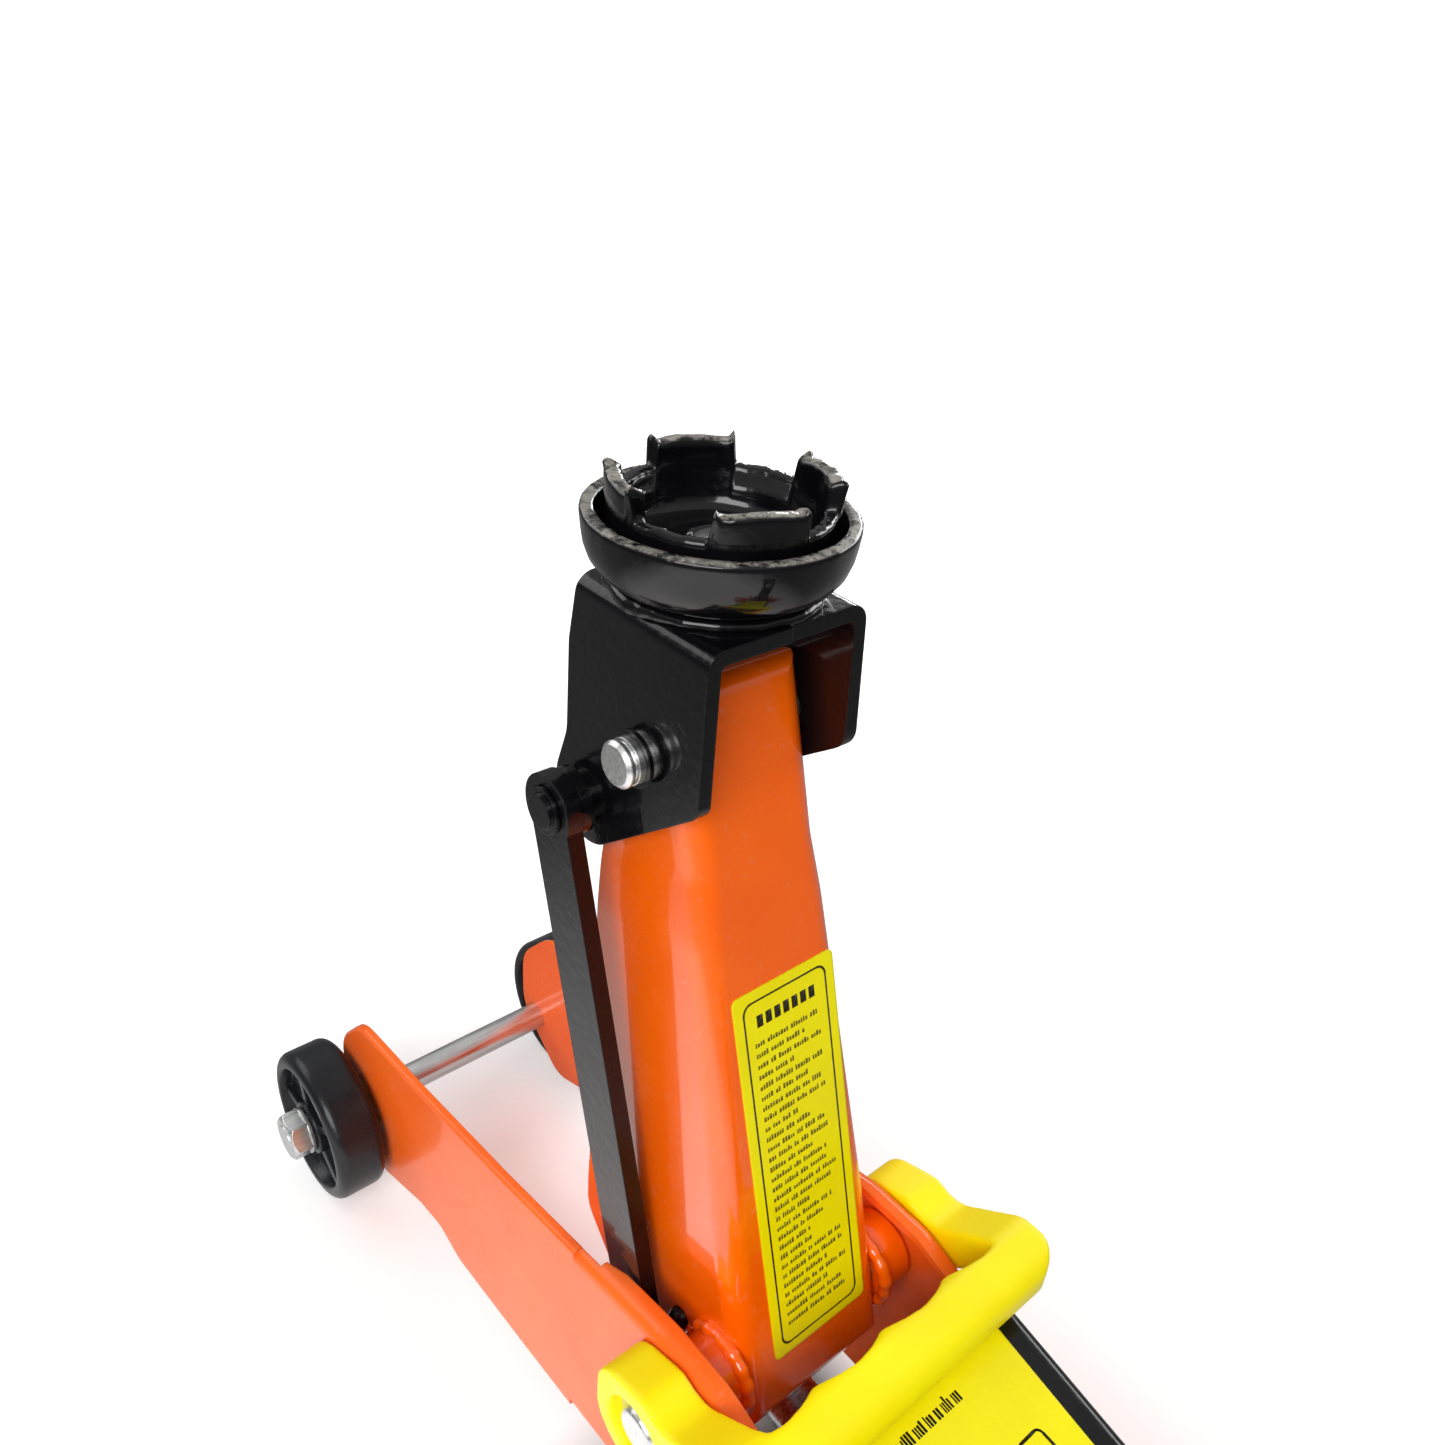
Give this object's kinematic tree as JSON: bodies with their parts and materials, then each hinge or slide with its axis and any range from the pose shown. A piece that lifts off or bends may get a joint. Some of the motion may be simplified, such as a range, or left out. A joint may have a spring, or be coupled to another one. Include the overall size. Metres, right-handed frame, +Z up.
{
  "type": "trolley jack",
  "caption": "Hydraulic trolley jack with a parallelogram lift arm, rotating crown saddle, side plates on wheels and casters, carry handle, cover and pump handle socket.",
  "frame": {"origin": "on the floor, under the middle of the jack's length and width", "axes": "+X forward towards the saddle and the fixed wheels, +Y to the left, +Z up"},
  "size_m": [0.4352, 0.194, 0.3422],
  "materials": {
    "frame_paint": "gloss",
    "arm_paint": "gloss",
    "black_paint": "gloss",
    "cast_black": "satin black paint",
    "zinc": "zinc plated",
    "ground_steel": "ground",
    "spring_steel": "oiled",
    "wheel_grey": "moulded",
    "handle_yellow": "moulded",
    "label_yellow": "printed film",
    "seal_rubber": "moulded"
  },
  "bodies": {
    "chassis": {"side_plate_left": "frame_paint", "side_plate_right": "frame_paint", "link_stud": "black_paint", "front_axle": "zinc", "axle_washers": "zinc", "axle_nuts": "zinc", "tie_rod": "black_paint", "arm_shaft": "zinc", "handle_bolts": "zinc", "block_bolts": "zinc", "cover_plate": "black_paint", "cover_label": "label_yellow", "cover_screws": "zinc", "valve_block": "cast_black", "reservoir_tube": "black_paint", "cylinder_tube": "ground_steel", "cylinder_nut": "zinc", "filler_plug": "seal_rubber", "overload_plug": "zinc", "pump_gland": "zinc", "socket_pin": "zinc", "caster_bracket_left": "frame_paint", "caster_bracket_right": "frame_paint", "caster_kingpins": "zinc"},
    "lift_arm": {"lift_arm": "arm_paint", "arm_bosses": "arm_paint", "crank_pin": "zinc", "arm_brace": "arm_paint", "arm_label": "label_yellow", "arm_stud": "black_paint"},
    "saddle_bracket": {"saddle_bracket": "black_paint", "saddle_bowl": "cast_black", "saddle_weld": "black_paint", "saddle_pin": "zinc", "pin_rings": "black_paint", "link_pin": "black_paint", "crown_rivet": "zinc"},
    "saddle_crown": {"saddle_crown": "cast_black"},
    "link_bar": {"link_bar": "black_paint"},
    "ram": {"ram_rod": "ground_steel", "ram_head": "ground_steel", "piston": "ground_steel", "piston_seal": "seal_rubber", "return_spring": "spring_steel"},
    "front_wheel_left": {"front_wheel_left": "wheel_grey"},
    "front_wheel_right": {"front_wheel_right": "wheel_grey"},
    "caster_fork_left": {"caster_fork_left": "zinc", "caster_axle_left": "zinc"},
    "caster_fork_right": {"caster_fork_right": "zinc", "caster_axle_right": "zinc"},
    "caster_wheel_left": {"caster_wheel_left": "wheel_grey"},
    "caster_wheel_right": {"caster_wheel_right": "wheel_grey"},
    "carry_handle": {"carry_handle": "handle_yellow"},
    "handle_socket": {"handle_socket": "black_paint", "socket_roller": "ground_steel", "socket_screw": "zinc"},
    "pump_plunger": {"pump_plunger": "ground_steel", "plunger_spring": "spring_steel"},
    "release_valve": {"release_valve": "zinc"}
  },
  "joints": [
    {"name": "arm_lift", "type": "hinge", "parent": "chassis", "child": "lift_arm", "pos_m": [-0.0166, 0, 0.0955], "axis": [0, -1, 0], "range_deg": [-78.5, 0]},
    {"name": "bracket_level", "type": "hinge", "parent": "lift_arm", "child": "saddle_bracket", "pos_m": [0.03794, 0, 0.275], "axis": [0, -1, 0], "range_deg": [0, 78.5]},
    {"name": "crown_swivel", "type": "hinge", "parent": "saddle_bracket", "child": "saddle_crown", "pos_m": [0.04444, 0, 0.3122], "axis": [0, 0, 1], "continuous": true},
    {"name": "link_swing", "type": "hinge", "parent": "chassis", "child": "link_bar", "pos_m": [0.0069, 0.0345, 0.0703], "axis": [0, -1, 0], "range_deg": [-78.5, 0]},
    {"name": "ram_slide", "type": "slide", "parent": "chassis", "child": "ram", "axis": [1, 0, 0], "range_m": [-0.0543, 0], "deforming": ["return_spring"]},
    {"name": "front_wheel_left_spin", "type": "hinge", "parent": "chassis", "child": "front_wheel_left", "pos_m": [0.1864, 0.05725, 0.0312], "axis": [0, 1, 0], "continuous": true},
    {"name": "front_wheel_right_spin", "type": "hinge", "parent": "chassis", "child": "front_wheel_right", "pos_m": [0.1864, -0.05725, 0.0312], "axis": [0, 1, 0], "continuous": true},
    {"name": "caster_left_swivel", "type": "hinge", "parent": "chassis", "child": "caster_fork_left", "pos_m": [-0.1786, 0.078, 0.049], "axis": [0, 0, 1], "continuous": true},
    {"name": "caster_left_spin", "type": "hinge", "parent": "caster_fork_left", "child": "caster_wheel_left", "pos_m": [-0.1906, 0.078, 0.02], "axis": [0, 1, 0], "continuous": true},
    {"name": "caster_right_swivel", "type": "hinge", "parent": "chassis", "child": "caster_fork_right", "pos_m": [-0.1786, -0.078, 0.049], "axis": [0, 0, 1], "continuous": true},
    {"name": "caster_right_spin", "type": "hinge", "parent": "caster_fork_right", "child": "caster_wheel_right", "pos_m": [-0.1906, -0.078, 0.02], "axis": [0, 1, 0], "continuous": true},
    {"name": "carry_handle_swing", "type": "hinge", "parent": "chassis", "child": "carry_handle", "pos_m": [-0.0166, 0, 0.0955], "axis": [0, 1, 0], "range_deg": [0, 40]},
    {"name": "handle_pump", "type": "hinge", "parent": "chassis", "child": "handle_socket", "pos_m": [-0.1766, 0, 0.098], "axis": [0, -1, 0], "range_deg": [0, 50], "stiffness_Nm_per_rad": 2, "springref_deg": -11.46},
    {"name": "plunger_slide", "type": "slide", "parent": "chassis", "child": "pump_plunger", "axis": [0, 0, -1], "range_m": [0, 0.0136], "deforming": ["plunger_spring"]},
    {"name": "release_turn", "type": "hinge", "parent": "chassis", "child": "release_valve", "pos_m": [-0.2116, -0.017, 0.046], "axis": [-1, 0, 0], "range_deg": [0, 270]}
  ],
  "couplings": [
    {"joint": "bracket_level", "follows": "arm_lift", "ratio": -1},
    {"joint": "link_swing", "follows": "arm_lift", "ratio": 1},
    {"joint": "ram_slide", "follows": "arm_lift", "m_per_rad": 0.039564},
    {"joint": "plunger_slide", "follows": "handle_pump", "m_per_rad": 0.0155}
  ]
}
